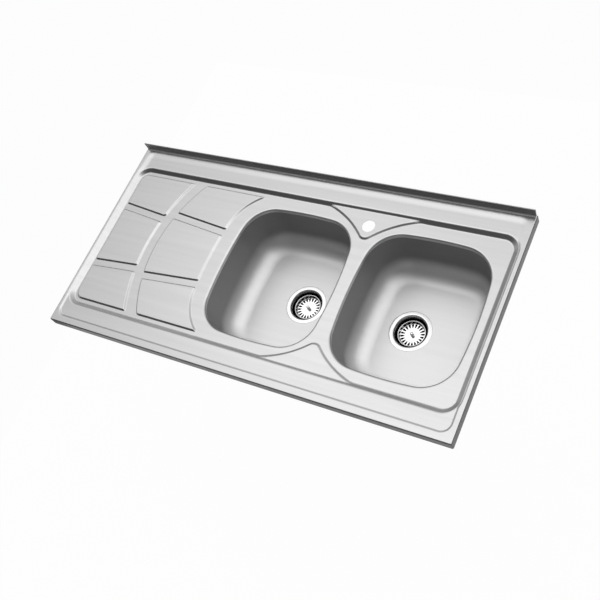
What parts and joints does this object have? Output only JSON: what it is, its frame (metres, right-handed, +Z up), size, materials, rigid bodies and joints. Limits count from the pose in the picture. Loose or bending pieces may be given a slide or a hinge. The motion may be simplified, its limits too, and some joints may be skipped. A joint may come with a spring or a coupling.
{
  "type": "lay-on sink top",
  "caption": "Lay-on stainless sink top with a drainer beside two drawn bowls, a rear upstand, a tap hole and lift-out basket strainers.",
  "frame": {"origin": "middle of the seat, on the underside of the skirt's turned-in lip", "axes": "+X to the right along the front, +Y to the back, +Z up"},
  "size_m": [1.2, 0.6, 0.2522],
  "materials": {
    "satin_steel": "satin, fine linear grain",
    "polished_steel": "polished",
    "knob_steel": "polished",
    "plain_steel": "as turned",
    "black_rubber": "matte",
    "waste_plastic": "moulded",
    "brass": "as turned",
    "damping_sheet": "matte sheet",
    "galvanised_steel": "galvanised"
  },
  "bodies": {
    "sink": {"sink_top": "satin_steel", "left_bowl": "satin_steel", "right_bowl": "satin_steel", "left_strainer_cup": "polished_steel", "right_strainer_cup": "polished_steel", "left_waste_screw": "plain_steel", "right_waste_screw": "plain_steel", "left_flange_seal": "black_rubber", "left_body_seal": "black_rubber", "right_flange_seal": "black_rubber", "right_body_seal": "black_rubber", "left_waste_body": "waste_plastic", "right_waste_body": "waste_plastic", "left_waste_insert": "brass", "right_waste_insert": "brass", "left_damping_pad": "damping_sheet", "right_damping_pad": "damping_sheet", "left_drainer_rail": "galvanised_steel", "right_drainer_rail": "galvanised_steel"},
    "left_lift_out_basket": {"left_basket": "polished_steel", "left_stopper": "black_rubber", "left_stopper_washer": "plain_steel", "left_basket_knob": "knob_steel"},
    "right_lift_out_basket": {"right_basket": "polished_steel", "right_stopper": "black_rubber", "right_stopper_washer": "plain_steel", "right_basket_knob": "knob_steel"}
  },
  "joints": [
    {"name": "left_basket_lift", "type": "slide", "parent": "sink", "child": "left_lift_out_basket", "axis": [0, 0, 1], "range_m": [0, 0.21]},
    {"name": "right_basket_lift", "type": "slide", "parent": "sink", "child": "right_lift_out_basket", "axis": [0, 0, 1], "range_m": [0, 0.21]}
  ]
}
